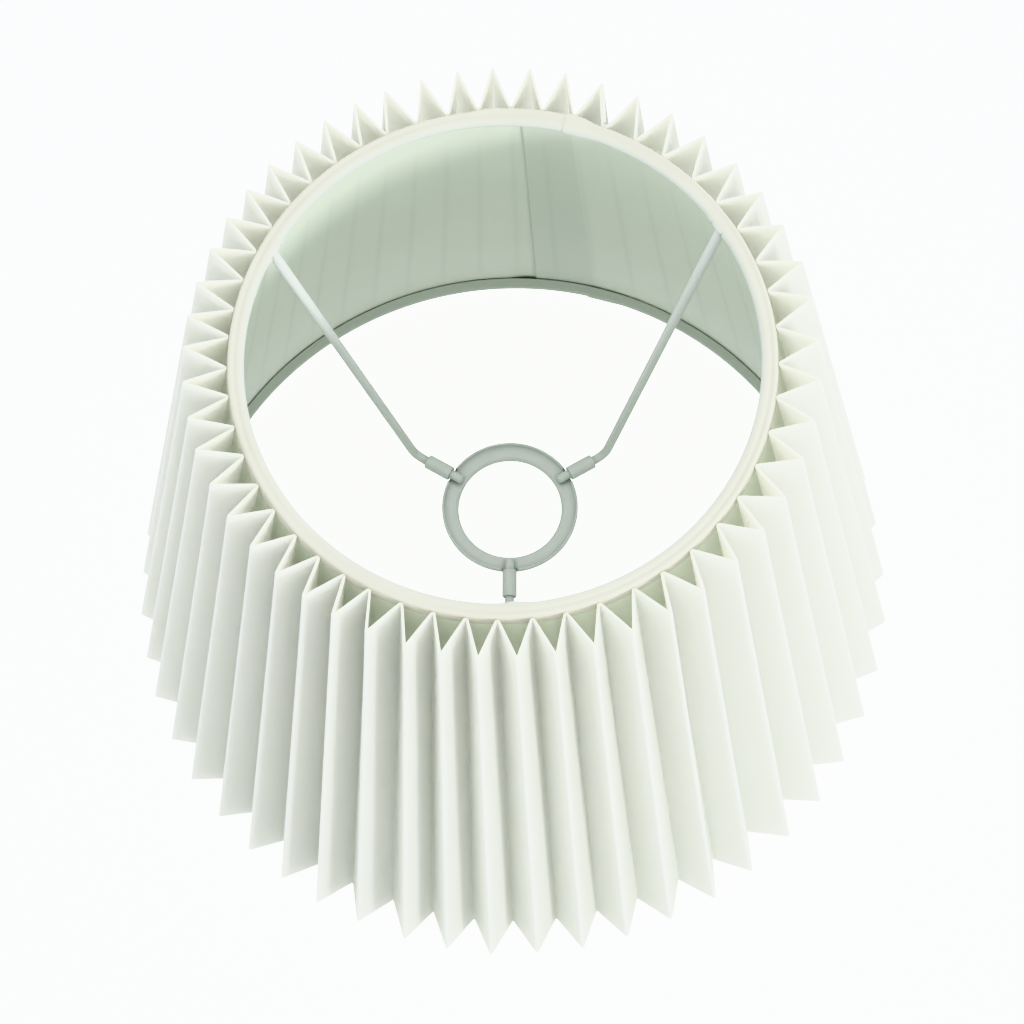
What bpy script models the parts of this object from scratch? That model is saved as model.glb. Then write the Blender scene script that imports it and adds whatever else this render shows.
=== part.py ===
"""Pleated cone lamp shade: a wire frame with a three-arm carrier ring, a stiff liner, binding
tape over both rims, and a pleated cloth cover.

Metres, +Z up. The shade stands on its wide rim at z = 0 and its axis is Z. The front arm is at -Y.
"""

import math

import bmesh
import bpy
import numpy as np

# Frame
SHADE_HEIGHT = 0.263  # from the lower rim's tape to the upper rim's tape
TOP_RING_RADIUS = 0.0952  # to the middle of the wire
BOTTOM_RING_RADIUS = 0.1457
RING_WIRE_RADIUS = 0.0018
FIT_GAP = 0.0003  # left between pieces that touch

# Liner
LINER_WALL = 0.0005
LINER_LAP_START = 78.0  # degrees round the axis, where the hidden end stops
LINER_LAP = 8.5  # degrees of overlap
LAP_RAMP = 5.5  # degrees in which a layer climbs over the one below it
LAP_MARGIN = 1.0  # degrees past an edge in which the layer over it stays level

# Binding tape
TAPE_WALL = 0.00045
TAPE_LEG = 0.005  # how far the tape comes down each side of a rim
TAPE_CORNER = 0.0009
TAPE_ARM_REACH = 0.00035  # how far the inner leg passes the ring wire's middle at an arm
TAPE_ARM_SIDE = 0.0014  # the shorter leg runs this far past each side of an arm

# Pleated cover
PLEATS = 51
COVER_WALL = 0.0008
TOP_FLANK_WIDTH = 0.0161  # fold to fold across one side of a pleat
BOTTOM_FLANK_WIDTH = 0.0173
INNER_FOLD_FLAT = 0.0012  # glued flat along each inner fold
COVER_SETBACK = 0.001  # an inner fold stops this far short of each rim
FIRST_FOLD = 68.4  # degrees round the axis, where the cover's two ends are joined
JOINT_SETBACK = 0.0035  # a loose end stops this far short of the fold it lies beside

# Carrier ring and arms
CARRIER_HEIGHT = 0.1026  # the flat's upper face above the lower rim
CARRIER_HOLE_RADIUS = 0.021
CARRIER_OUTER_RADIUS = 0.0279
CARRIER_SHEET = 0.001
CARRIER_LIP = 0.0022  # the outer edge stands this far above the flat
CARRIER_TURNDOWN = 0.0022  # the inner edge reaches this far below the flat's upper face
CARRIER_SLOPE = 0.0008
CARRIER_FILLET = 0.0005  # inside the turned-down edge
ARM_WIRE_RADIUS = 0.0019
ARM_ANGLES = {"right": 30.0, "left": 150.0, "front": 270.0}
CARRIER_TWIST = -3.0  # degrees that the carrier ring is turned from the arms' roots
ARM_BEND_ROUND = 0.005  # length of wire on each side of the bend that is rounded
ARM_STRAIGHT = 0.0008  # straight wire between a socket and the rounded part of the bend
ARM_END_INSET = 0.0016  # the wire's end stops this far outside the hole
SOCKET_WALL = 0.0008
SOCKET_LENGTH = 0.0112

RING_STEPS = 80
LINER_STEPS = 90
WIRE_SIDES = 12
BEND_STEPS = 6
CORNER_ANGLES = np.radians([0, 30, 60, 90])
NOTCH_EDGE = 0.2  # degrees in which a notch's side drops
NOTCH_SPACE = 1.0  # degrees beside a notch with no other point


def material(name, colour, roughness, metallic=0.0):
    made = bpy.data.materials.new(name)
    made.use_nodes = True
    shader = made.node_tree.nodes["Principled BSDF"]
    shader.inputs["Base Color"].default_value = (*colour, 1.0)
    shader.inputs["Roughness"].default_value = roughness
    shader.inputs["Metallic"].default_value = metallic
    return made


def mesh_object(name, points, faces, finish):
    """A closed mesh object from points and faces, with its faces turned outwards."""
    mesh = bpy.data.meshes.new(name)
    mesh.from_pydata([tuple(p) for p in points], [], faces)
    builder = bmesh.new()
    builder.from_mesh(mesh)
    bmesh.ops.recalc_face_normals(builder, faces=builder.faces)
    builder.to_mesh(mesh)
    builder.free()
    mesh.materials.append(finish)
    mesh.shade_smooth()
    mesh.set_sharp_from_angle(angle=math.radians(30))
    made = bpy.data.objects.new(name, mesh)
    bpy.context.scene.collection.objects.link(made)
    return made


def ring_object(name, azimuths, section, finish):
    """A closed ring: section(azimuth) gives the same number of (radius, z) points at every azimuth."""
    points = []
    for azimuth in azimuths:
        turn = math.radians(azimuth)
        points += [(r * math.cos(turn), r * math.sin(turn), z) for r, z in section(azimuth)]
    count = len(points) // len(azimuths)
    faces = []
    for i in range(len(azimuths)):
        here, there = i * count, (i + 1) % len(azimuths) * count
        for j in range(count):
            k = (j + 1) % count
            faces.append((here + j, here + k, there + k, there + j))
    return mesh_object(name, points, faces, finish)


def even_azimuths(steps):
    return [360 * i / steps for i in range(steps)]


# The cone through the middles of both ring wires, which every layer is measured from
RIM_TO_WIRE = TAPE_WALL + FIT_GAP + RING_WIRE_RADIUS
SLOPE = (TOP_RING_RADIUS - BOTTOM_RING_RADIUS) / (SHADE_HEIGHT - 2 * RIM_TO_WIRE)
SLANT = math.atan(-SLOPE)
LINER_INNER = RING_WIRE_RADIUS + FIT_GAP
LINER_OUTER = LINER_INNER + LINER_WALL
TAPE_OUTER = LINER_OUTER + FIT_GAP + TAPE_WALL
LAYER_RISE = LINER_WALL + FIT_GAP
TAPE_ARM_LEG = RIM_TO_WIRE + TAPE_ARM_REACH
TAPE_ARM_HALF = math.degrees((ARM_WIRE_RADIUS + TAPE_ARM_SIDE) / TOP_RING_RADIUS)


def cone_radius(z, offset=0.0):
    """Radius at height z of the surface that lies offset outside the frame's cone."""
    return BOTTOM_RING_RADIUS + SLOPE * (z - RIM_TO_WIRE) + offset / math.cos(SLANT)


def eased(x):
    x = min(max(x, 0.0), 1.0)
    return x * x * (3 - 2 * x)


def lap_rise(azimuth):
    """How far what covers the liner is lifted by its lap, at an azimuth in degrees."""
    middle = LINER_LAP_START + (LINER_LAP + LAP_RAMP) / 2
    away = abs((azimuth - middle + 180) % 360 - 180)
    level = (LINER_LAP + LAP_RAMP) / 2 + LAP_MARGIN
    return LAYER_RISE * eased(1 - (away - level) / LAP_RAMP)


def make_ring_wire(name, radius, height, finish):
    angles = np.arange(WIRE_SIDES) * 2 * math.pi / WIRE_SIDES
    across, up = RING_WIRE_RADIUS * np.cos(angles), RING_WIRE_RADIUS * np.sin(angles)

    def section(_azimuth):
        return list(zip(radius + across, height + up))

    return ring_object(name, even_azimuths(RING_STEPS), section, finish)


def make_tape(name, azimuths, rim, inward, inner_leg, finish):
    """Tape folded over a rim at height rim. inward is -1 at the top rim and 1 at the bottom one."""

    def section(azimuth):
        rise = lap_rise(azimuth)
        inner, outer = -LINER_INNER - TAPE_WALL, TAPE_OUTER + rise
        curve = TAPE_CORNER * (1 - np.cos(CORNER_ANGLES)), TAPE_CORNER * (1 - np.sin(CORNER_ANGLES))
        outline = [(outer, TAPE_LEG)]
        outline += [(outer - a, b) for a, b in zip(*curve)]
        outline += [(inner + b, a) for a, b in zip(*curve)]
        leg = inner_leg(azimuth)
        outline += [(inner, leg), (inner + TAPE_WALL, leg), (inner + TAPE_WALL, TAPE_WALL)]
        outline += [(outer - TAPE_WALL, TAPE_WALL), (outer - TAPE_WALL, TAPE_LEG)]
        heights = [rim + inward * depth for _, depth in outline]
        return [(cone_radius(z, offset), z) for (offset, _), z in zip(outline, heights)]

    return ring_object(name, azimuths, section, finish)


def arm_notch_leg(azimuth):
    """The upper tape's inner leg, shorter where an arm comes out under it."""
    away = min(abs((azimuth - a + 180) % 360 - 180) for a in ARM_ANGLES.values())
    return TAPE_ARM_LEG if away <= TAPE_ARM_HALF else TAPE_LEG


def notched_azimuths(centres, half, steps):
    """Even azimuths, with a pair at each side of every notch instead of those near it."""
    clear = half + NOTCH_SPACE
    kept = [a for a in even_azimuths(steps) if all(abs((a - c + 180) % 360 - 180) > clear for c in centres)]
    for centre in centres:
        kept += [centre + turn for turn in (-half - NOTCH_EDGE, -half, 0, half, half + NOTCH_EDGE)]
    return sorted(a % 360 for a in kept)


def strip_object(name, lower, upper, wall, finish):
    """An upright strip of one thickness along a plan path, given by its lower and upper middle lines.

    Both of its faces are split along the same diagonals, so they stay one wall apart where it is twisted.
    """
    rows = []
    for line in (np.array(lower), np.array(upper)):
        along = np.diff(line[:, :2], axis=0)
        along /= np.linalg.norm(along, axis=1)[:, None]
        normal = np.stack([along[:, 1], -along[:, 0]], axis=1)
        before, after = np.vstack([normal[:1], normal]), np.vstack([normal, normal[-1:]])
        mitre = (before + after) / (1 + (before * after).sum(axis=1))[:, None]
        for side in (wall / 2, -wall / 2):
            rows.append(np.column_stack([line[:, :2] + side * mitre, line[:, 2]]))
    count = len(lower)
    lower_edge, upper_edge, outer_face, inner_face = (0, 1), (2, 3), (0, 2), (1, 3)
    faces = []
    for a, b in (lower_edge, upper_edge, outer_face, inner_face):
        for i in range(count - 1):
            here, there = a * count + i, b * count + i
            faces += [(here, here + 1, there + 1), (here, there + 1, there)]
    for end in (0, count - 1):
        faces.append(tuple(row * count + end for row in (0, 1, 3, 2)))
    return mesh_object(name, np.vstack(rows), faces, finish)


def plan_point(radius, azimuth, z):
    turn = math.radians(azimuth)
    return np.array([radius * math.cos(turn), radius * math.sin(turn), z])


def make_liner(finish):
    """One sheet rolled to a cone. Its inner end laps over its outer end."""
    start, turns = LINER_LAP_START, 360 + LINER_LAP
    lap_end = start + LINER_LAP + LAP_MARGIN
    lower, upper = [], []
    for i in range(LINER_STEPS + 1):
        azimuth = start + turns * i / LINER_STEPS
        rise = LAYER_RISE * eased(1 - (azimuth - lap_end) / (LAP_RAMP - LAP_MARGIN))
        edge = TAPE_WALL + FIT_GAP
        for line, z in ((lower, edge), (upper, SHADE_HEIGHT - edge)):
            line.append(plan_point(cone_radius(z, (LINER_INNER + LINER_OUTER) / 2 + rise), azimuth, z))
    return strip_object("liner", lower, upper, LINER_WALL, finish)


def pleat_line(rim, inward, flank_width):
    """The cover's middle line along one rim: a flat and a tip for each pleat, then the joint's end."""
    inner_z = rim + inward * COVER_SETBACK
    seat = TAPE_OUTER + FIT_GAP + COVER_WALL / 2
    pitch = 360 / PLEATS

    def flat_ends(azimuth):
        radius = cone_radius(inner_z, seat + lap_rise(azimuth))
        half = math.degrees(INNER_FOLD_FLAT / 2 / radius)
        return plan_point(radius, azimuth - half, inner_z), plan_point(radius, azimuth + half, inner_z)

    def tip(azimuth):
        """The outer fold: a flank's width away from both flats. The cloth is cut square to its folds."""
        near = flat_ends(azimuth - pitch / 2)[1]
        radius = math.hypot(near[0], near[1])
        apart = math.radians(pitch / 2) - INNER_FOLD_FLAT / 2 / radius
        reach = radius * math.cos(apart) + math.sqrt(flank_width**2 - (radius * math.sin(apart)) ** 2)
        return plan_point(reach, azimuth, inner_z + (reach - radius) * math.tan(SLANT))

    def between(a, b, distance):
        return a + (b - a) * distance / np.linalg.norm(b - a)

    folds = [FIRST_FOLD + pitch * i for i in range(PLEATS + 1)]
    first_tip = tip(folds[0] + pitch / 2)
    line = [between(flat_ends(folds[0])[1], first_tip, JOINT_SETBACK), first_tip]
    for fold in folds[1:-1]:
        line += [*flat_ends(fold), tip(fold + pitch / 2)]
    # The last flank lies inside the first one, glued to it, and stops short of the tip
    flat_start, root = flat_ends(folds[-1])
    along, flat = first_tip - root, (root - flat_start) / np.linalg.norm(root - flat_start)
    inside = np.array([-along[1], along[0], 0.0]) / math.hypot(along[0], along[1])
    layer = COVER_WALL + FIT_GAP
    line += [flat_start, root + flat * layer / (inside @ flat)]
    line.append(between(first_tip, root, JOINT_SETBACK) + inside * layer)
    return line


def make_cover(finish):
    lower = pleat_line(0.0, 1, BOTTOM_FLANK_WIDTH)
    upper = pleat_line(SHADE_HEIGHT, -1, TOP_FLANK_WIDTH)
    return strip_object("pleated_cover", lower, upper, COVER_WALL, finish)


def make_carrier_ring(finish):
    """Pressed steel ring: lip up at its outer edge, notched for each arm, and its inner edge turned down."""
    hole, rim, sheet = CARRIER_HOLE_RADIUS, CARRIER_OUTER_RADIUS, CARRIER_SHEET
    angles = [a + CARRIER_TWIST for a in ARM_ANGLES.values()]
    half = math.degrees((ARM_WIRE_RADIUS + 2 * FIT_GAP) / rim)

    def section(azimuth):
        away = min(abs((azimuth - a + 180) % 360 - 180) for a in angles)
        lip = 0.0 if away <= half + NOTCH_EDGE / 2 else CARRIER_LIP
        turn = CARRIER_TURNDOWN - sheet / 2
        outline = [(rim, lip), (rim - sheet, lip), (rim - sheet - CARRIER_SLOPE, 0.0)]
        outline += [(hole + turn * (1 - math.cos(a)), turn * (math.sin(a) - 1)) for a in CORNER_ANGLES[::-1]]
        outline += [(hole, -CARRIER_TURNDOWN), (hole + sheet, -CARRIER_TURNDOWN)]
        outline += [(hole + sheet, -sheet - CARRIER_FILLET), (hole + sheet + CARRIER_FILLET, -sheet)]
        outline += [(rim - sheet, -sheet), (rim, -sheet / 2)]
        return [(r, CARRIER_HEIGHT + z) for r, z in outline]

    azimuths = notched_azimuths(angles, half, RING_STEPS)
    return ring_object("carrier_ring", azimuths, section, finish)


def round_corner(points, reach):
    """A three-point path with its middle corner replaced by a smooth curve that starts reach before it."""
    start, corner, end = points
    before = corner + (start - corner) / np.linalg.norm(start - corner) * reach
    after = corner + (end - corner) / np.linalg.norm(end - corner) * reach
    curve = []
    for i in range(BEND_STEPS + 1):
        t = i / BEND_STEPS
        curve.append((1 - t) ** 2 * before + 2 * t * (1 - t) * corner + t * t * after)
    return [start, *curve, end]


WIRE_HEIGHT = CARRIER_HEIGHT + FIT_GAP + ARM_WIRE_RADIUS
SOCKET_START = CARRIER_OUTER_RADIUS + FIT_GAP


def make_arm(side, angle, finish):
    """Round wire from the upper ring down to the carrier ring, butted to the ring at its top end."""
    ring = plan_point(TOP_RING_RADIUS, angle, SHADE_HEIGHT - RIM_TO_WIRE)
    bend_radius = SOCKET_START + SOCKET_LENGTH + ARM_STRAIGHT + ARM_BEND_ROUND
    bend = plan_point(bend_radius, angle + CARRIER_TWIST, WIRE_HEIGHT)
    inner = CARRIER_HOLE_RADIUS + ARM_END_INSET
    end = plan_point(inner, angle + CARRIER_TWIST, WIRE_HEIGHT)
    root = ring + (bend - ring) / np.linalg.norm(bend - ring) * (RING_WIRE_RADIUS + FIT_GAP)
    curve = bpy.data.curves.new(f"arm_{side}", "CURVE")
    curve.dimensions = "3D"
    curve.bevel_depth = ARM_WIRE_RADIUS
    curve.bevel_resolution = (WIRE_SIDES - 4) // 2
    curve.use_fill_caps = True
    points = round_corner([root, bend, end], ARM_BEND_ROUND)
    spline = curve.splines.new("POLY")
    spline.points.add(len(points) - 1)
    for point, place in zip(spline.points, points):
        point.co = (*place, 1.0)
    curve.materials.append(finish)
    made = bpy.data.objects.new(f"arm_{side}", curve)
    bpy.context.scene.collection.objects.link(made)
    return made


def make_socket(side, angle, finish):
    """Steel sleeve crimped on the arm's wire and fixed against the carrier ring's outer edge."""
    bore = ARM_WIRE_RADIUS + FIT_GAP
    far = SOCKET_START + SOCKET_LENGTH
    turn = math.radians(angle + CARRIER_TWIST)
    outline = [(bore, SOCKET_START), (bore + SOCKET_WALL, SOCKET_START)]
    outline += [(bore + SOCKET_WALL, far), (bore, far)]
    points = []
    for i in range(2 * WIRE_SIDES):
        a = math.pi * i / WIRE_SIDES
        for radius, reach in outline:
            across, z = radius * math.cos(a), WIRE_HEIGHT + radius * math.sin(a)
            x = reach * math.cos(turn) - across * math.sin(turn)
            y = reach * math.sin(turn) + across * math.cos(turn)
            points.append((x, y, z))
    count, steps = len(outline), 2 * WIRE_SIDES
    faces = [
        (i * count + j, i * count + k, (i + 1) % steps * count + k, (i + 1) % steps * count + j)
        for i in range(steps)
        for j, k in enumerate([*range(1, count), 0])
    ]
    return mesh_object(f"socket_{side}", points, faces, finish)


for old in list(bpy.data.objects):
    bpy.data.objects.remove(old)

COVER_CLOTH = material("cover_cloth", (0.88, 0.88, 0.85), 0.85)
LINER_SHEET = material("liner_sheet", (0.80, 0.82, 0.78), 0.6)
BINDING_TAPE = material("binding_tape", (0.82, 0.82, 0.76), 0.85)
FRAME_WIRE = material("frame_wire", (0.72, 0.75, 0.72), 0.4, 0.1)
WHITE_COAT = material("white_coat", (0.78, 0.80, 0.78), 0.45)

make_ring_wire("top_ring", TOP_RING_RADIUS, SHADE_HEIGHT - RIM_TO_WIRE, FRAME_WIRE)
make_ring_wire("bottom_ring", BOTTOM_RING_RADIUS, RIM_TO_WIRE, FRAME_WIRE)
make_carrier_ring(WHITE_COAT)
for arm_side, arm_angle in ARM_ANGLES.items():
    make_arm(arm_side, arm_angle, WHITE_COAT)
    make_socket(arm_side, arm_angle, WHITE_COAT)
make_liner(LINER_SHEET)
make_tape(
    "top_trim",
    notched_azimuths(ARM_ANGLES.values(), TAPE_ARM_HALF, RING_STEPS),
    SHADE_HEIGHT,
    -1,
    arm_notch_leg,
    BINDING_TAPE,
)
make_tape("bottom_trim", even_azimuths(RING_STEPS), 0.0, 1, lambda _azimuth: TAPE_LEG, BINDING_TAPE)
make_cover(COVER_CLOTH)
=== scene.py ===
"""Pleated lamp shade: a cloth cover folded into deep pleats, on a stiff liner taped over wire rims.

Each section makes one piece, in the order in which the shade is put together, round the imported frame.
"""

import math

import bpy
import numpy as np
from mathutils import Matrix


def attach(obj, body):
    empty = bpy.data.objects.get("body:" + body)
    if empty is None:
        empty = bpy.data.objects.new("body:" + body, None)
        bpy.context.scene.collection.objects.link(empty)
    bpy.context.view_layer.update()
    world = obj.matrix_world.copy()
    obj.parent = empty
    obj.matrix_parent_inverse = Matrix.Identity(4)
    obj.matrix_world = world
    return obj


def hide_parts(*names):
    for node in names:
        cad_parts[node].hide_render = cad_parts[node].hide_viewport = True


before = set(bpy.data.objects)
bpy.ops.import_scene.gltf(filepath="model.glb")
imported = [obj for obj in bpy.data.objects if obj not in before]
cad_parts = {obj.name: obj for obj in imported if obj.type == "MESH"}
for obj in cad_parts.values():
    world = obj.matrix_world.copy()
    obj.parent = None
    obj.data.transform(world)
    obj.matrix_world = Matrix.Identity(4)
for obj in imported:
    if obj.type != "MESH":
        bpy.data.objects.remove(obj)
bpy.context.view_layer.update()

# ---------------------------------------------------------------------------------------------------
# Rim rings. Two rings of round steel wire, bent and butt-welded, then dipped in white lacquer.
# They hold the shade's whole shape, so every other layer is measured from the cone through them.
SHADE_HEIGHT = 0.263  # from the lower rim's tape to the upper rim's tape
TOP_RING_RADIUS = 0.0952
BOTTOM_RING_RADIUS = 0.1457
RING_WIRE_RADIUS = 0.0018
FIT_GAP = 0.0003
LINER_WALL = 0.0005
TAPE_WALL = 0.00045
RIM_TO_WIRE = TAPE_WALL + FIT_GAP + RING_WIRE_RADIUS
SLOPE = (TOP_RING_RADIUS - BOTTOM_RING_RADIUS) / (SHADE_HEIGHT - 2 * RIM_TO_WIRE)
SLANT = math.atan(-SLOPE)


def cone_radius(z, offset=0.0):
    """Radius at height z of the surface that lies offset outside the cone through both ring wires."""
    return BOTTOM_RING_RADIUS + SLOPE * (z - RIM_TO_WIRE) + offset / math.cos(SLANT)


def linear(hexes):
    """An sRGB hex colour as linear red, green, blue and alpha."""
    parts = np.array([int(hexes[i : i + 2], 16) for i in (1, 3, 5)]) / 255
    return (*np.where(parts <= 0.04045, parts / 12.92, ((parts + 0.055) / 1.055) ** 2.4), 1.0)


def add_node(tree, kind, inputs=None, **settings):
    """Adds a node. Its settings are attributes. Its inputs, by name or number, are values or links."""
    node = tree.nodes.new(kind)
    for name, value in settings.items():
        setattr(node, name, value)
    for key, value in (inputs or {}).items():
        if isinstance(value, bpy.types.NodeSocket):
            tree.links.new(value, node.inputs[key])
        else:
            node.inputs[key].default_value = value
    return node


def new_finish(name):
    """A material with only an output node, and its node tree."""
    made = bpy.data.materials.new(name)
    made.use_nodes = True
    made.node_tree.nodes.clear()
    add_node(made.node_tree, "ShaderNodeOutputMaterial")
    return made, made.node_tree


WAVE_PERIOD = 0.31416  # metres between the bands of a wave texture at scale 1


def wear(tree, shader):
    """Joins the finished shader to the material's output."""
    tree.links.new(shader.outputs[0], tree.nodes["Material Output"].inputs["Surface"])


# Lacquered steel: a thin white dip coat over drawn wire, which leaves soft runs and a satin shine
wire_lacquer, tree = new_finish("white_dip_lacquer_on_wire")
place = add_node(tree, "ShaderNodeTexCoord").outputs["Object"]
runs = add_node(tree, "ShaderNodeTexNoise", {"Vector": place, "Scale": 260.0, "Detail": 3.0})
tone = add_node(
    tree,
    "ShaderNodeMix",
    {"Factor": runs.outputs["Fac"], 6: linear("#CFD5CD"), 7: linear("#E3E8E2")},
    data_type="RGBA",
)
bump = add_node(tree, "ShaderNodeBump", {"Height": runs.outputs["Fac"], "Strength": 0.15, "Distance": 0.0002})
wear(
    tree,
    add_node(
        tree,
        "ShaderNodeBsdfPrincipled",
        {"Base Color": tone.outputs[2], "Roughness": 0.38, "Normal": bump.outputs[0]},
    ),
)
for name in ("top_ring", "bottom_ring"):
    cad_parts[name].data.materials[0] = wire_lacquer


# ---------------------------------------------------------------------------------------------------
# Liner. One piece of smooth white laminate sheet, rolled to a cone and glued where its ends overlap.
# Its hidden end shows through as a faint ridge, and its free end as a line down the inside, darkened with
# painted shade.
LINER_LAP_START = 72.5  # degrees round the axis
LINER_LAP = 10.8
LAP_RAMP = 5.5
LAP_MARGIN = 1.0
LINER_INNER = RING_WIRE_RADIUS + FIT_GAP
LINER_OUTER = LINER_INNER + LINER_WALL
LAYER_RISE = LINER_WALL + FIT_GAP
LINER_COLUMNS, LINER_ROWS = 1440, 12


def eased(x):
    """Smooth step from 0 to 1: 3x^2 - 2x^3, held at its ends."""
    x = np.clip(x, 0.0, 1.0)
    return x * x * (3 - 2 * x)


def turn_between(a, b):
    """Signed degrees from azimuth b to azimuth a, the short way round."""
    return (a - b + 180) % 360 - 180


def lap_rise(azimuth):
    """How far what covers the liner is lifted by its lap."""
    middle = LINER_LAP_START + (LINER_LAP + LAP_RAMP) / 2
    level = (LINER_LAP + LAP_RAMP) / 2 + LAP_MARGIN
    return LAYER_RISE * eased(1 - (np.abs(turn_between(azimuth, middle)) - level) / LAP_RAMP)


def polar(radius, azimuth, z):
    """Points at a radius, an azimuth in degrees and a height, as one array with x, y, z last."""
    turn = np.radians(azimuth)
    return np.stack(np.broadcast_arrays(radius * np.cos(turn), radius * np.sin(turn), z), axis=-1)


def steps_along(grid, axis):
    """Distance travelled along one axis of a grid of points, averaged over the other, from 0."""
    steps = np.linalg.norm(np.diff(grid, axis=axis), axis=-1).mean(axis=1 - axis)
    return np.concatenate([[0.0], np.cumsum(steps)])


def loft(name, grid, finish, ring=False, values=None, sharp=40.0):
    """A closed mesh through grid[i, j]: i runs along a path and j round its closed section.

    With ring the path is closed too, or else a face closes each end. Its UV map is in metres: u along
    the path and v round the section. values are numbers at the points, kept as attributes.
    """
    count, sides = grid.shape[:2]
    wrap = np.concatenate([grid, grid[:, :1]], axis=1)
    wrap = np.concatenate([wrap, wrap[:1]]) if ring else wrap
    along, across = steps_along(wrap, 0), steps_along(wrap, 1)
    i, j = np.meshgrid(np.arange(len(along) - 1), np.arange(sides), indexing="ij")
    corners = [(i, j), (i + 1, j), (i + 1, j + 1), (i, j + 1)]
    quads = np.stack([(a % count) * sides + b % sides for a, b in corners], axis=-1).reshape(-1, 4)
    uv = np.stack([np.stack([along[a], across[b]], axis=-1) for a, b in corners], axis=-2).reshape(-1, 2)
    faces = quads.tolist()
    if not ring:
        faces += [list(range(sides)), list(range(count * sides - 1, (count - 1) * sides - 1, -1))]
        uv = np.vstack([uv, np.zeros((2 * sides, 2))])
    mesh = bpy.data.meshes.new(name)
    mesh.from_pydata(grid.reshape(-1, 3).tolist(), [], faces)
    mesh.uv_layers.new(name="metres").data.foreach_set("uv", uv.astype(np.float32).ravel())
    for key, value in (values or {}).items():
        kept = mesh.attributes.new(key, "FLOAT", "POINT")
        kept.data.foreach_set("value", np.broadcast_to(value, (count, sides)).astype(np.float32).ravel())
    mesh.materials.append(finish)
    mesh.shade_smooth()
    mesh.set_sharp_from_angle(angle=math.radians(sharp))
    made = bpy.data.objects.new(name, mesh)
    bpy.context.scene.collection.objects.link(made)
    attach(made, "root")
    return made


def walled(middle, wall, inside=1.0):
    """Section loops of a sheet: middle[i, j] runs along i and up j, and the loop goes up its outer face
    and down its inner one. inside scales the inner half of the wall, as where a fold pinches it."""
    normal = np.cross(np.gradient(middle, axis=0), np.gradient(middle, axis=1))
    normal /= np.linalg.norm(normal, axis=-1)[..., None]
    outer = middle + normal * wall / 2
    inner = middle - normal * wall / 2 * np.broadcast_to(inside, middle.shape[:2])[..., None]
    return np.concatenate([outer, inner[:, ::-1]], axis=1)


# Satin laminate: an opaque white sheet with a faint green-grey cast, smooth, and a little see-through
liner_sheet, tree = new_finish("white_styrene_laminate_satin")
place = add_node(tree, "ShaderNodeTexCoord").outputs["Object"]
cloud = add_node(tree, "ShaderNodeTexNoise", {"Vector": place, "Scale": 14.0, "Detail": 2.0})
tone = add_node(
    tree,
    "ShaderNodeMix",
    {"Factor": cloud.outputs["Fac"], 6: linear("#DAE2D2"), 7: linear("#E2E9DB")},
    data_type="RGBA",
)
# Painted shade: darker where the attribute set after the pleated cover marks fold lines, the lap and the free
# edge
shadow = add_node(tree, "ShaderNodeAttribute", attribute_name="painted_liner_shade")
tone = add_node(
    tree,
    "ShaderNodeMix",
    {"Factor": shadow.outputs["Fac"], 6: tone.outputs[2], 7: linear("#A9B3A6")},
    data_type="RGBA",
)
grain = add_node(tree, "ShaderNodeTexNoise", {"Vector": place, "Scale": 900.0, "Detail": 2.0})
bump = add_node(
    tree, "ShaderNodeBump", {"Height": grain.outputs["Fac"], "Strength": 0.04, "Distance": 0.0002}
)
sheet_front = add_node(
    tree,
    "ShaderNodeBsdfPrincipled",
    {"Base Color": tone.outputs[2], "Roughness": 0.55, "IOR": 1.5, "Normal": bump.outputs[0]},
)
sheet_through = add_node(tree, "ShaderNodeBsdfTranslucent", {"Color": linear("#E4E6D6")})
wear(
    tree,
    add_node(
        tree,
        "ShaderNodeMixShader",
        {"Fac": 0.14, 1: sheet_front.outputs[0], 2: sheet_through.outputs[0]},
    ),
)

azimuth = LINER_LAP_START + np.linspace(0, 360 + LINER_LAP, LINER_COLUMNS)[:, None]
height = np.linspace(TAPE_WALL + FIT_GAP, SHADE_HEIGHT - TAPE_WALL - FIT_GAP, LINER_ROWS)[None, :]
lap_end = LINER_LAP_START + LINER_LAP + LAP_MARGIN
rise = LAYER_RISE * eased(1 - (azimuth - lap_end) / (LAP_RAMP - LAP_MARGIN))
middle = polar(cone_radius(height, (LINER_INNER + LINER_OUTER) / 2 + rise), azimuth, height)
liner = loft("liner_sheet", walled(middle, LINER_WALL), liner_sheet)
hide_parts("liner")


# ---------------------------------------------------------------------------------------------------
# Carrier. A pressed steel ring with a raised lip takes the lampholder. Three lacquered wire arms carry
# it from the upper ring, each crimped in a steel sleeve and laid across a notch in the ring's lip.
CARRIER_HEIGHT = 0.1026
CARRIER_HOLE_RADIUS = 0.021
CARRIER_OUTER_RADIUS = 0.0279
CARRIER_SHEET = 0.001
CARRIER_LIP = 0.0022
CARRIER_TURNDOWN = 0.0022
CARRIER_SLOPE = 0.0008
ARM_WIRE_RADIUS = 0.0019
ARM_ANGLES = {"right": 30.0, "left": 150.0, "front": 270.0}
CARRIER_TWIST = -3.0
ARM_BEND_ROUND = 0.005
ARM_STRAIGHT = 0.0008
ARM_END_INSET = 0.0016
SOCKET_WALL = 0.0008
SOCKET_LENGTH = 0.0112
WIRE_HEIGHT = CARRIER_HEIGHT + FIT_GAP + ARM_WIRE_RADIUS
SOCKET_START = CARRIER_OUTER_RADIUS + FIT_GAP / 3
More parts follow.
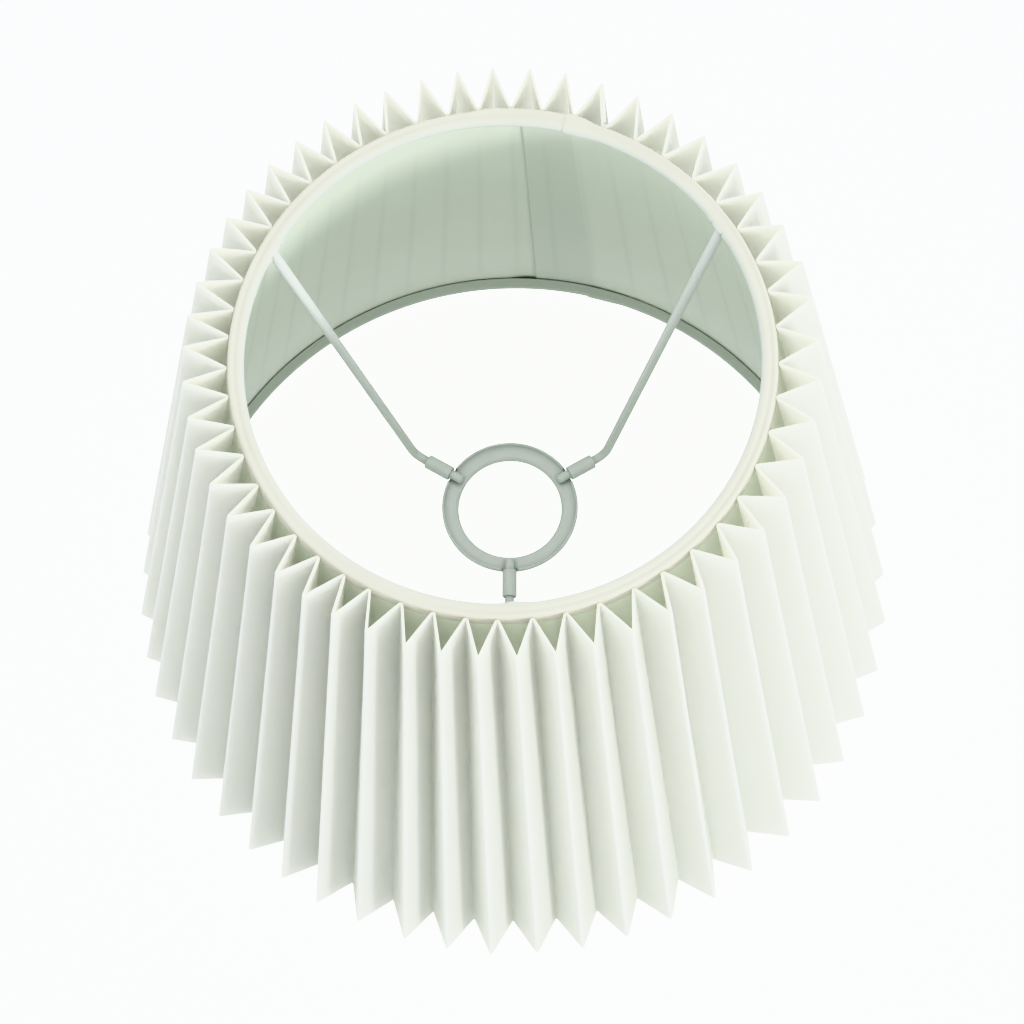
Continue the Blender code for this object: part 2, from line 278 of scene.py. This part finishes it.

# Powder coat: a thick white satin skin that rounds every edge, darkened in the crevices with painted shade
white_coat, tree = new_finish("white_powder_coat_on_steel")
place = add_node(tree, "ShaderNodeTexCoord").outputs["Object"]
orange_peel = add_node(tree, "ShaderNodeTexNoise", {"Vector": place, "Scale": 700.0, "Detail": 2.0})
# Painted shade: the coat's colour darkens where ambient occlusion finds a crevice
crevice = add_node(tree, "ShaderNodeAmbientOcclusion", {"Distance": 0.0025}, samples=6)
tone = add_node(
    tree,
    "ShaderNodeMix",
    {"Factor": crevice.outputs["AO"], 6: linear("#8E9A94"), 7: linear("#D3D6D3")},
    data_type="RGBA",
)
bump = add_node(
    tree, "ShaderNodeBump", {"Height": orange_peel.outputs["Fac"], "Strength": 0.12, "Distance": 0.0001}
)
wear(
    tree,
    add_node(
        tree,
        "ShaderNodeBsdfPrincipled",
        {"Base Color": tone.outputs[2], "Roughness": 0.42, "IOR": 1.5, "Normal": bump.outputs[0]},
    ),
)


def arc(centre, radius, start, end, count):
    """Points (a, b) on an arc in a section, with its angles in degrees."""
    turn = np.radians(np.linspace(start, end, count))
    return np.stack([centre[0] + radius * np.cos(turn), centre[1] + radius * np.sin(turn)], axis=-1)


# The ring's section, as radius and height over the flat: round lip, slope, flat, and turned-down edge
sheet, half = CARRIER_SHEET, CARRIER_SHEET / 2
turn_radius = CARRIER_TURNDOWN - half
ring_section = np.vstack(
    [
        arc((CARRIER_OUTER_RADIUS - half, CARRIER_LIP - half), half, 0, 180, 9),
        arc((CARRIER_OUTER_RADIUS - sheet - CARRIER_SLOPE, CARRIER_SLOPE), CARRIER_SLOPE, 0, -90, 6),
        arc((CARRIER_HOLE_RADIUS + turn_radius, -turn_radius), turn_radius, 90, 180, 9),
        arc((CARRIER_HOLE_RADIUS + half, -CARRIER_TURNDOWN + half / 2), half, 190, 350, 7),
        arc((CARRIER_HOLE_RADIUS + 2 * sheet, -2 * sheet), sheet, 180, 90, 6),
        arc((CARRIER_OUTER_RADIUS - sheet, 0.0), sheet, -90, 0, 6),
    ]
)
azimuth = np.linspace(0, 360, 361)[:-1, None]
arm_turns = np.array(list(ARM_ANGLES.values())) + CARRIER_TWIST
away = np.abs(turn_between(azimuth, arm_turns[None, :])).min(axis=1)[:, None]
notch_half = math.degrees((ARM_WIRE_RADIUS + 2 * FIT_GAP) / CARRIER_OUTER_RADIUS)
notch = eased((away - notch_half) / 1.5)
height = np.where(ring_section[None, :, 1] > 0, ring_section[None, :, 1] * notch, ring_section[None, :, 1])
carrier = loft(
    "carrier_ring_pressed",
    polar(ring_section[None, :, 0], azimuth, CARRIER_HEIGHT + height),
    white_coat,
    ring=True,
)
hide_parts("carrier_ring")


def tube(name, path, radius, finish, sides=28):
    """Round wire: circles of a given radius at each point of a path, square to it."""
    along = np.gradient(path, axis=0)
    along /= np.linalg.norm(along, axis=1)[:, None]
    side = np.cross(along, [0.0, 0.0, 1.0])
    side /= np.linalg.norm(side, axis=1)[:, None]
    up = np.cross(side, along)
    turn = np.linspace(0, 2 * np.pi, sides + 1)[:-1]
    out = side[:, None] * np.cos(turn)[None, :, None] + up[:, None] * np.sin(turn)[None, :, None]
    return loft(name, path[:, None] + out * np.broadcast_to(radius, len(path))[:, None, None], finish)


BEND_POINTS, END_POINTS = 14, 5
for side, angle in ARM_ANGLES.items():
    ring_point = polar(TOP_RING_RADIUS, angle, SHADE_HEIGHT - RIM_TO_WIRE)
    bend_radius = SOCKET_START + SOCKET_LENGTH + ARM_STRAIGHT + ARM_BEND_ROUND
    bend = polar(bend_radius, angle + CARRIER_TWIST, WIRE_HEIGHT)
    tip = polar(CARRIER_HOLE_RADIUS + ARM_END_INSET, angle + CARRIER_TWIST, WIRE_HEIGHT)
    down = (bend - ring_point) / np.linalg.norm(bend - ring_point)
    flat = (tip - bend) / np.linalg.norm(tip - bend)
    root = ring_point + down * (RING_WIRE_RADIUS + FIT_GAP)
    t = np.linspace(0, 1, BEND_POINTS)[:, None]
    before, after = bend - down * ARM_BEND_ROUND, bend + flat * ARM_BEND_ROUND
    curve = (1 - t) ** 2 * before + 2 * t * (1 - t) * bend + t * t * after
    # The cut end is rounded over by the coat
    back = ARM_WIRE_RADIUS * 0.45 * (1 - np.sin(np.linspace(0, np.pi / 2, END_POINTS)))[:, None]
    end_radius = ARM_WIRE_RADIUS * (0.6 + 0.4 * np.cos(np.linspace(0, np.pi / 2, END_POINTS)))
    path = np.vstack([root, root + down * 0.02, curve, tip - flat * back])
    radius = np.concatenate([np.full(2 + BEND_POINTS, ARM_WIRE_RADIUS), end_radius])
    arm = tube(f"arm_wire_{side}", path, radius, white_coat)
    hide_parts(f"arm_{side}")

    # Sleeve: radius from the wire's axis and reach from the shade's axis, with both lips rounded
    bore, outside = ARM_WIRE_RADIUS + FIT_GAP / 2, ARM_WIRE_RADIUS + FIT_GAP + SOCKET_WALL
    lip, far = SOCKET_WALL / 2, SOCKET_START + SOCKET_LENGTH
    sleeve_section = np.vstack(
        [
            arc((outside - lip, SOCKET_START + lip), lip, -90, 0, 5),
            arc((outside - lip, far - lip), lip, 0, 90, 5),
            [(bore, far), (bore, SOCKET_START)],
        ]
    )
    turn = np.linspace(0, 2 * np.pi, 49)[:-1, None]
    out = polar(1.0, angle + CARRIER_TWIST, 0.0)
    across = np.array([-out[1], out[0], 0.0])
    grid = (
        out * sleeve_section[None, :, 1, None]
        + across * (sleeve_section[None, :, 0] * np.cos(turn))[..., None]
        + np.array([0.0, 0.0, 1.0]) * (WIRE_HEIGHT + sleeve_section[None, :, 0] * np.sin(turn))[..., None]
    )
    sleeve = loft(f"arm_sleeve_{side}", grid, white_coat, ring=True)
    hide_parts(f"socket_{side}")


# ---------------------------------------------------------------------------------------------------
# Binding tape. Off-white cotton tape, glued over each rim and round the liner's edge, with its ends
# overlapped at the back. It shows the wire's roundness, the pull of the arms and its own weave.
TAPE_LEG = 0.005
TAPE_REACH = 0.0062
TAPE_SAG = 0.00035
TAPE_ARM_SHARE = 0.3
TAPE_ARM_SIDE = 0.0008
TAPE_OUTER = LINER_OUTER + FIT_GAP + TAPE_WALL
TAPE_ARM_BULGE = 0.0011
TAPE_THREAD = 0.00055
TAPE_COLUMNS = 1440
TAPE_LAP_START, TAPE_LAP = 73.4, 7.0


def tape_finish(name, light, dark, inside):
    """Cotton tape: plain weave, coarse enough to show, with a patchy tone.
    inside colours the leg that lies within the shade, a tone painted for the light in there: painted shade on
    the lower tape."""
    made, tree = new_finish(name)
    uv = add_node(tree, "ShaderNodeUVMap", uv_map="metres").outputs[0]
    threads = []
    for direction in ("X", "Y"):
        wave = add_node(
            tree,
            "ShaderNodeTexWave",
            {"Vector": uv, "Scale": WAVE_PERIOD / TAPE_THREAD, "Distortion": 0.6, "Detail": 1.0},
            bands_direction=direction,
        )
        threads.append(wave.outputs["Fac"])
    weave = add_node(tree, "ShaderNodeMath", {0: threads[0], 1: threads[1]}, operation="MAXIMUM")
    place = add_node(tree, "ShaderNodeTexCoord").outputs["Object"]
    cloud = add_node(tree, "ShaderNodeTexNoise", {"Vector": place, "Scale": 55.0, "Detail": 4.0})
    tone = add_node(
        tree,
        "ShaderNodeMix",
        {"Factor": cloud.outputs["Fac"], 6: linear(dark), 7: linear(light)},
        data_type="RGBA",
    )
    # Painted light: the leg within the shade takes the inside colour, set for the light in there
    within = add_node(tree, "ShaderNodeAttribute", attribute_name="within")
    tone = add_node(
        tree,
        "ShaderNodeMix",
        {"Factor": within.outputs["Fac"], 6: tone.outputs[2], 7: linear(inside)},
        data_type="RGBA",
    )
    bump = add_node(tree, "ShaderNodeBump", {"Height": weave.outputs[0], "Strength": 0.2, "Distance": 0.0001})
    wear(
        tree,
        add_node(
            tree,
            "ShaderNodeBsdfPrincipled",
            {
                "Base Color": tone.outputs[2],
                "Roughness": 0.85,
                "Sheen Weight": 0.1,
                "Normal": bump.outputs[0],
            },
        ),
    )
    return made


def tape_grid(rim, inward, cut, bulge):
    """Section loops of tape folded over a rim: up its outside, over the liner's edge and the wire, and
    down the inside as far as the liner. All one wall thick.

    inward is -1 at the upper rim and 1 at the lower one. cut is the share of the inner leg that is left
    and bulge how far the leg stands into the shade, at each azimuth. Also gives the leg's share per point.
    """
    azimuth = np.linspace(0, 360, TAPE_COLUMNS + 1)[:-1, None]
    turn = turn_between(TAPE_LAP_START, azimuth)
    lap = TAPE_WALL * eased((turn + 0.25) / 0.25) * eased((TAPE_LAP - turn) / 4.0)
    outer = TAPE_OUTER + lap_rise(azimuth)
    corner, wire = 0.0009, RING_WIRE_RADIUS + FIT_GAP + TAPE_WALL
    leg_up = np.linspace(1, 0.25, 4)[None, :]
    shoulder = np.radians(np.linspace(0, 90, 6))[None, :]
    across = np.linspace(0, 1, 9)[None, 1:-1]
    round_wire = arc((0.0, wire), wire, -90, -225, 14)
    leg_end = (LINER_INNER - FIT_GAP / 4 - TAPE_WALL, TAPE_REACH)
    inner = np.vstack([round_wire, np.linspace(round_wire[-1], leg_end, 5)[1:]])
    way = steps_along(inner[:, None], 0) / steps_along(inner[:, None], 0)[-1]
    share = cut * np.linspace(0, 1, 22)[None, :]
    inner_off = np.interp(share, way, inner[:, 0]) - bulge * np.sin(np.pi * share) ** 2
    inner_dep = np.interp(share, way, inner[:, 1])
    flat_off = (outer - corner) * (1 - across)
    flat_dep = TAPE_SAG * np.sin(np.pi * across) ** 2 + 0 * outer
    skin_off = np.concatenate(
        [outer + 0 * leg_up, outer - corner * (1 - np.cos(shoulder)), flat_off, inner_off], axis=1
    )
    skin_dep = np.concatenate(
        [TAPE_LEG * leg_up + 0 * outer, corner * (1 - np.sin(shoulder)) + 0 * outer, flat_dep, inner_dep], axis=1
    )
    tangent = np.stack([np.gradient(skin_off, axis=1), np.gradient(skin_dep, axis=1)], axis=-1)
    tangent /= np.linalg.norm(tangent, axis=-1)[..., None]
    lift_off, lift_dep = -tangent[..., 1], tangent[..., 0]
    back_off, back_dep = skin_off - TAPE_WALL * lift_off, skin_dep - TAPE_WALL * lift_dep
    offset = np.concatenate([skin_off + lap * lift_off, back_off[:, ::-1]], axis=1)
    depth = np.concatenate([skin_dep + lap * lift_dep, back_dep[:, ::-1]], axis=1)
    depth = depth if inward < 0 else np.maximum(depth, 0.0)
    z = rim + inward * depth
    grid = polar(cone_radius(z, offset), azimuth, z)
    within = np.concatenate([0 * skin_off[:, : -share.shape[1]], eased(share * 3) + 0 * outer], axis=1)
    within = np.concatenate([within, within[:, ::-1]], axis=1)
    return (grid if inward > 0 else grid[:, ::-1]), (within if inward > 0 else within[:, ::-1])


azimuth = np.linspace(0, 360, TAPE_COLUMNS + 1)[:-1, None]
near_arm = np.abs(turn_between(azimuth, np.array(list(ARM_ANGLES.values()))[None, :])).min(axis=1)[:, None]
arm_half = math.degrees((ARM_WIRE_RADIUS + TAPE_ARM_SIDE) / TOP_RING_RADIUS)
at_arm = 1 - eased((near_arm - arm_half) / 0.8)
over_arm = 1 - eased(near_arm / (3 * arm_half))
grid, within = tape_grid(SHADE_HEIGHT, -1, 1 - (1 - TAPE_ARM_SHARE) * at_arm, TAPE_ARM_BULGE * over_arm)
# The same tape as on the lower rim, its colours set darker here as painted shade against the strong light on the
# top rim
upper_tape = tape_finish("off_white_cotton_tape", "#C5C4B8", "#B9B8A9", "#C3C7C0")
top_trim = loft("top_tape", grid, upper_tape, ring=True, values={"within": within})
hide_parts("top_trim")
grid, within = tape_grid(0.0, 1, np.ones((TAPE_COLUMNS, 1)), 0.0)
# Painted shade: this tape's leg inside the shade is coloured darker than the rest of it
lower_tape = tape_finish("lower_cotton_tape_painted_shade", "#D6D7CC", "#CACABC", "#C3C9C1")
bottom_trim = loft("bottom_tape", grid, lower_tape, ring=True, values={"within": within})
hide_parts("bottom_trim")


# ---------------------------------------------------------------------------------------------------
# Pleated cover. Off-white woven cloth on a stiff backing, pressed into 51 sharp pleats and glued to
# the tape along every inner fold. Its ends meet in one doubled flank. The pleats are set a little
# wider on the right than on the left, and each leans its own way.
PLEATS = 51
COVER_WALL = 0.0008
TOP_FLANK_WIDTH = 0.0161
BOTTOM_FLANK_WIDTH = 0.0173
INNER_FOLD_FLAT = 0.0008
COVER_SETBACK = 0.001
FIRST_FOLD = 59.6
JOINT_SETBACK = 0.0015
PITCH = 360 / PLEATS
CROWDING = 4.6  # degrees: the folds gather on one side of the shade and spread on the other
SECOND_CROWDING = 1.3  # degrees: the same, with two gathered and two spread places
LOWER_SKEW = -0.8  # degrees: how far the lower folds shift against the upper ones, twice round
SET_ERROR = 0.25  # degrees, from pleat to pleat
LEAN_ERROR = 0.2  # degrees
FLANK_SWELL = 0.00035
TIP_ROUND = 0.001
INNER_ROUND = 0.0003
TIP_PINCH = 0.25  # share of the inner wall
CLOTH_THREAD = 0.0006
COVER_ROWS = 26
FLANK_POINTS, ROUND_POINTS = 7, 7
rng = np.random.default_rng(7)
fold_error = rng.normal(0, SET_ERROR, PLEATS + 1)
fold_error[-1] = fold_error[0]
lean_error = rng.normal(0, LEAN_ERROR, PLEATS + 1)


def set_azimuth(turn, skew):
    """Uneven spacing in degrees: turn + crowding sin(turn) + second sin(2 turn) + skew cos(2 turn)."""
    angle = np.radians(turn)
    return turn + CROWDING * np.sin(angle) + SECOND_CROWDING * np.sin(2 * angle) + skew * np.cos(2 * angle)


def rim_line(rim, inward, flank_width, skew):
    """Corners of the folded cloth along one rim, in order: each pleat's tip, and both ends of each
    inner fold's glued flat. A tip is one flank's width from the flats beside it. The cloth is cut
    square to its folds, so its edge climbs outwards along the slant."""
    inner_z = rim + inward * COVER_SETBACK
    seat = TAPE_OUTER + FIT_GAP + COVER_WALL / 2
    folds = set_azimuth(FIRST_FOLD + PITCH * np.arange(PLEATS + 1), skew) + fold_error
    folds[-1] = folds[0] + 360
    radius = cone_radius(inner_z, seat + lap_rise(folds))
    half = np.degrees(INNER_FOLD_FLAT / 2 / radius)
    near, far = polar(radius, folds - half, inner_z), polar(radius, folds + half, inner_z)
    span = np.radians(np.diff(folds)) - INNER_FOLD_FLAT / radius[:-1]
    reach = radius[:-1] * np.cos(span / 2) + np.sqrt(flank_width**2 - (radius[:-1] * np.sin(span / 2)) ** 2)
    middle = (folds[:-1] + folds[1:]) / 2 + lean_error[:-1]
    tips = polar(reach, middle, inner_z + (reach - radius[:-1]) * math.tan(SLANT))
    start = far[0] + (tips[0] - far[0]) * JOINT_SETBACK / flank_width
    # The last flank lies inside the first one, glued to it, and stops short of the tip
    along, flat = tips[0] - far[-1], (far[-1] - near[-1]) / INNER_FOLD_FLAT
    inside = np.array([-along[1], along[0], 0.0]) / math.hypot(along[0], along[1])
    layer = COVER_WALL + FIT_GAP / 3
    root = far[-1] + flat * layer / (inside @ flat)
    end = tips[0] - along * JOINT_SETBACK / flank_width + inside * layer
    body = np.stack([near[1:-1], far[1:-1], tips[1:]], axis=1).reshape(-1, 3)
    return np.vstack([start, tips[0], body, near[-1], root, end])


def folded(corners, reach, bow):
    """A line with rounded corners through corners[row, corner]: between two corners come points bowed
    sideways by bow, 4v(1 - v) along the way, and each corner is a curve of its two legs' ends."""
    step = np.diff(corners, axis=1)
    length = np.linalg.norm(step, axis=-1, keepdims=True)
    way = step / length
    t = np.linspace(0, 1, ROUND_POINTS)[:, None]
    legs = reach[None, 1:-1, None]
    first, last = corners[:, 1:-1] - way[:, :-1] * legs, corners[:, 1:-1] + way[:, 1:] * legs
    rounds = (
        (1 - t) ** 2 * first[:, :, None] + 2 * t * (1 - t) * corners[:, 1:-1, None] + t**2 * last[:, :, None]
    )
    begin = np.concatenate([corners[:, :1], last], axis=1)
    finish = np.concatenate([first, corners[:, -1:]], axis=1)
    v = np.linspace(0, 1, FLANK_POINTS + 2)[1:-1][:, None]
    sideways = np.cross(way, [0.0, 0.0, 1.0])
    flanks = begin[:, :, None] + (finish - begin)[:, :, None] * v
    flanks = flanks + (4 * v * (1 - v)) * (sideways * bow[..., None])[:, :, None]
    return flanks, rounds


rows = np.linspace(0, 1, COVER_ROWS)[:, None, None]
lower = rim_line(0.0, 1, BOTTOM_FLANK_WIDTH, LOWER_SKEW)
upper = rim_line(SHADE_HEIGHT, -1, TOP_FLANK_WIDTH, 0.0)
corners = lower[None] * (1 - rows) + upper[None] * rows
is_tip = np.ones(len(lower), bool)
is_tip[2:-3:3] = is_tip[3:-3:3] = False
is_tip[-3:] = False
corner_reach = np.where(is_tip, TIP_ROUND, INNER_ROUND)
flank = np.linalg.norm(np.diff(lower, axis=0), axis=1) > 2 * INNER_FOLD_FLAT
swell = rng.normal(0, FLANK_SWELL, len(lower) - 1) * flank
bow = swell[None, :] * np.sin(np.pi * rows[:, :, 0]) ** 0.5
flanks, rounds = folded(corners, corner_reach, bow)
keep = np.concatenate(
    [np.repeat(flank[:-1, None], FLANK_POINTS, axis=1), np.ones((len(flank) - 1, ROUND_POINTS), bool)], axis=1
).ravel()
line = np.concatenate([flanks[:, :-1], rounds], axis=2).reshape(COVER_ROWS, -1, 3)[:, keep]
line = np.concatenate([corners[:, :1], line, flanks[:, -1], corners[:, -1:]], axis=1)
t = np.linspace(0, 1, ROUND_POINTS)
pinch = 1 - TIP_PINCH * np.sin(np.pi * t)[None, :] * is_tip[1:-1, None]
per_flank = np.ones((len(flank) - 1, FLANK_POINTS))
inside = np.concatenate([per_flank, pinch], axis=1).ravel()[keep]
inside = np.concatenate([[1.0], inside, np.ones(FLANK_POINTS + 1)])

# Cover cloth: plain weave in off-white, matt, letting some light through
cover_cloth, tree = new_finish("off_white_woven_cloth_on_backing")
uv = add_node(tree, "ShaderNodeUVMap", uv_map="metres").outputs[0]
threads = [
    add_node(
        tree,
        "ShaderNodeTexWave",
        {"Vector": uv, "Scale": WAVE_PERIOD / CLOTH_THREAD, "Distortion": 0.8, "Detail": 1.0},
        bands_direction=direction,
    ).outputs["Fac"]
    for direction in ("X", "Y")
]
weave = add_node(tree, "ShaderNodeMath", {0: threads[0], 1: threads[1]}, operation="MAXIMUM")
place = add_node(tree, "ShaderNodeTexCoord").outputs["Object"]
cloud = add_node(tree, "ShaderNodeTexNoise", {"Vector": place, "Scale": 22.0, "Detail": 3.0})
tone = add_node(
    tree,
    "ShaderNodeMix",
    {"Factor": cloud.outputs["Fac"], 6: linear("#F3F5F7"), 7: linear("#F8F9FB")},
    data_type="RGBA",
)
backing = add_node(tree, "ShaderNodeAttribute", attribute_name="backing")
tone = add_node(
    tree,
    "ShaderNodeMix",
    {"Factor": backing.outputs["Fac"], 6: tone.outputs[2], 7: linear("#FAF5E2")},
    data_type="RGBA",
)
bump = add_node(tree, "ShaderNodeBump", {"Height": weave.outputs[0], "Strength": 0.1, "Distance": 0.0001})
cloth_front = add_node(
    tree,
    "ShaderNodeBsdfPrincipled",
    {"Base Color": tone.outputs[2], "Roughness": 0.9, "Sheen Weight": 0.05, "Normal": bump.outputs[0]},
)
cloth_through = add_node(tree, "ShaderNodeBsdfTranslucent", {"Color": linear("#F8F9F6")})
wear(
    tree,
    add_node(
        tree,
        "ShaderNodeMixShader",
        {"Fac": 0.6, 1: cloth_front.outputs[0], 2: cloth_through.outputs[0]},
    ),
)
middle = np.swapaxes(line, 0, 1)
cover = loft(
    "pleated_cloth",
    walled(middle, COVER_WALL, inside[:, None]),
    cover_cloth,
    values={"backing": np.repeat([0.0, 1.0], COVER_ROWS)[None, :]},
    sharp=50.0,
)
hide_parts("pleated_cover")

# Painted shade on the liner: faint dark lines where the inner folds lie behind it, a darker band over its
# doubled lap, and a dark line along its free edge
LINE_SHADE, DOUBLE_SHADE, EDGE_SHADE = 0.15, 0.22, 0.75
LINE_HALF = 0.5  # degrees
azimuth = LINER_LAP_START + np.linspace(0, 360 + LINER_LAP, LINER_COLUMNS)[:, None]
rise_share = np.linspace(0, 1, LINER_ROWS)[None, :]
turns = FIRST_FOLD + PITCH * np.arange(PLEATS)
fold_at = set_azimuth(turns[:, None], LOWER_SKEW * (1 - rise_share))
off_fold = np.abs(turn_between(azimuth[None], fold_at[:, None, :])).min(axis=0)
fade = np.sin(np.pi * np.clip(rise_share * 1.1, 0, 1)) ** 0.5
line_shadow = LINE_SHADE * np.exp(-((off_fold / LINE_HALF) ** 2)) * fade
from_start = azimuth - LINER_LAP_START
double = eased((from_start - 360) / 0.4) * eased((360 + LINER_LAP - from_start) / 0.2)
edge_line = eased((from_start - 360 - LINER_LAP + 0.3) / 0.2)
shade = np.maximum(line_shadow + DOUBLE_SHADE * double, EDGE_SHADE * edge_line)
shade = np.concatenate([shade, shade[:, ::-1]], axis=1)
kept = liner.data.attributes.new("painted_liner_shade", "FLOAT", "POINT")
kept.data.foreach_set("value", shade.astype(np.float32).ravel())


# ---------------------------------------------------------------------------------------------------
# Studio: a plain white floor, and a white surround that is brighter behind and above. One soft light
# stands low on the right and in front. The floor glows, so that it stays white, but lights nothing.
FLOOR_GLOW = 2.6
floor_white, tree = new_finish("plain_white_paper")
grain = add_node(
    tree,
    "ShaderNodeTexNoise",
    {"Vector": add_node(tree, "ShaderNodeTexCoord").outputs["Object"], "Scale": 30.0},
)
tone = add_node(
    tree,
    "ShaderNodeMix",
    {"Factor": grain.outputs["Fac"], 6: linear("#F4F4F4"), 7: linear("#FAFAFA")},
    data_type="RGBA",
)
wear(
    tree,
    add_node(
        tree,
        "ShaderNodeBsdfPrincipled",
        {
            "Base Color": tone.outputs[2],
            "Roughness": 0.9,
            "Emission Color": (1.0, 1.0, 1.0, 1.0),
            "Emission Strength": FLOOR_GLOW,
        },
    ),
)
FLOOR_HALF, FLOOR_DROP = 4.0, 0.0002
floor_mesh = bpy.data.meshes.new("floor")
floor_mesh.from_pydata(
    [(x * FLOOR_HALF, y * FLOOR_HALF, -FLOOR_DROP) for x, y in ((-1, -1), (1, -1), (1, 1), (-1, 1))],
    [],
    [(0, 1, 2, 3)],
)
floor_mesh.materials.append(floor_white)
floor = bpy.data.objects.new("floor", floor_mesh)
floor.visible_diffuse = False
floor.visible_glossy = False
floor.visible_transmission = False
bpy.context.scene.collection.objects.link(floor)

world = bpy.data.worlds.new("white_surround")
world.use_nodes = True
tree = world.node_tree
direction = add_node(tree, "ShaderNodeTexCoord").outputs["Generated"]
parts = add_node(tree, "ShaderNodeSeparateXYZ", {0: direction})
from_behind = add_node(
    tree,
    "ShaderNodeMapRange",
    {"Value": parts.outputs["Y"], "From Min": -0.7, "From Max": 0.8, "To Min": 0.9, "To Max": 1.3},
)
from_table = add_node(
    tree,
    "ShaderNodeMapRange",
    {"Value": parts.outputs["Z"], "From Min": -0.7, "From Max": 0.0, "To Min": 0.1, "To Max": 0.0},
)
from_above = add_node(
    tree,
    "ShaderNodeMapRange",
    {"Value": parts.outputs["Z"], "From Min": -0.25, "From Max": 0.25, "To Min": 0.0, "To Max": 0.62},
)
strength = add_node(tree, "ShaderNodeMath", {0: from_table.outputs[0], 1: from_above.outputs[0]})
strength = add_node(tree, "ShaderNodeMath", {0: strength.outputs[0], 1: from_behind.outputs[0]})
background = tree.nodes["Background"]
background.inputs["Color"].default_value = linear("#F8FBFF")
tree.links.new(strength.outputs[0], background.inputs["Strength"])
bpy.context.scene.world = world


def area_light(name, azimuth, elevation, distance, size, power, hexes):
    """A square soft light, aimed at the middle of the shade from an azimuth and elevation in degrees."""
    light = bpy.data.lights.new(name, "AREA")
    light.size, light.energy, light.color = size, power, linear(hexes)[:3]
    lamp = bpy.data.objects.new(name, light)
    flat = math.cos(math.radians(elevation)) * distance
    offset = polar(flat, azimuth, math.sin(math.radians(elevation)) * distance)
    lamp.location = offset + np.array([0.0, 0.0, SHADE_HEIGHT / 2])
    lamp.rotation_euler = (math.radians(90 - elevation), 0.0, math.radians(azimuth + 90))
    bpy.context.scene.collection.objects.link(lamp)


area_light(
    "key_softbox", azimuth=-44.0, elevation=20.0, distance=1.6, size=0.28, power=14.5, hexes="#FDFDFF"
)

LENS, SENSOR = 100.5, 36.0  # millimetres
CAMERA_PLACE = (0.0, -0.398, 1.204)
CAMERA_PITCH, CAMERA_YAW, CAMERA_ROLL = 19.78, -0.106, -2.803  # degrees
camera_data = bpy.data.cameras.new("camera")
camera_data.lens, camera_data.sensor_width = LENS, SENSOR
camera = bpy.data.objects.new("camera", camera_data)
camera.location = CAMERA_PLACE
turn = [math.radians(a) for a in (CAMERA_PITCH, CAMERA_YAW, CAMERA_ROLL)]
camera.rotation_euler = (
    Matrix.Rotation(turn[1], 3, "Z") @ Matrix.Rotation(turn[0], 3, "X") @ Matrix.Rotation(turn[2], 3, "Z")
).to_euler()
bpy.context.scene.collection.objects.link(camera)
bpy.context.scene.camera = camera
bpy.context.scene.view_settings.view_transform = "Khronos PBR Neutral"
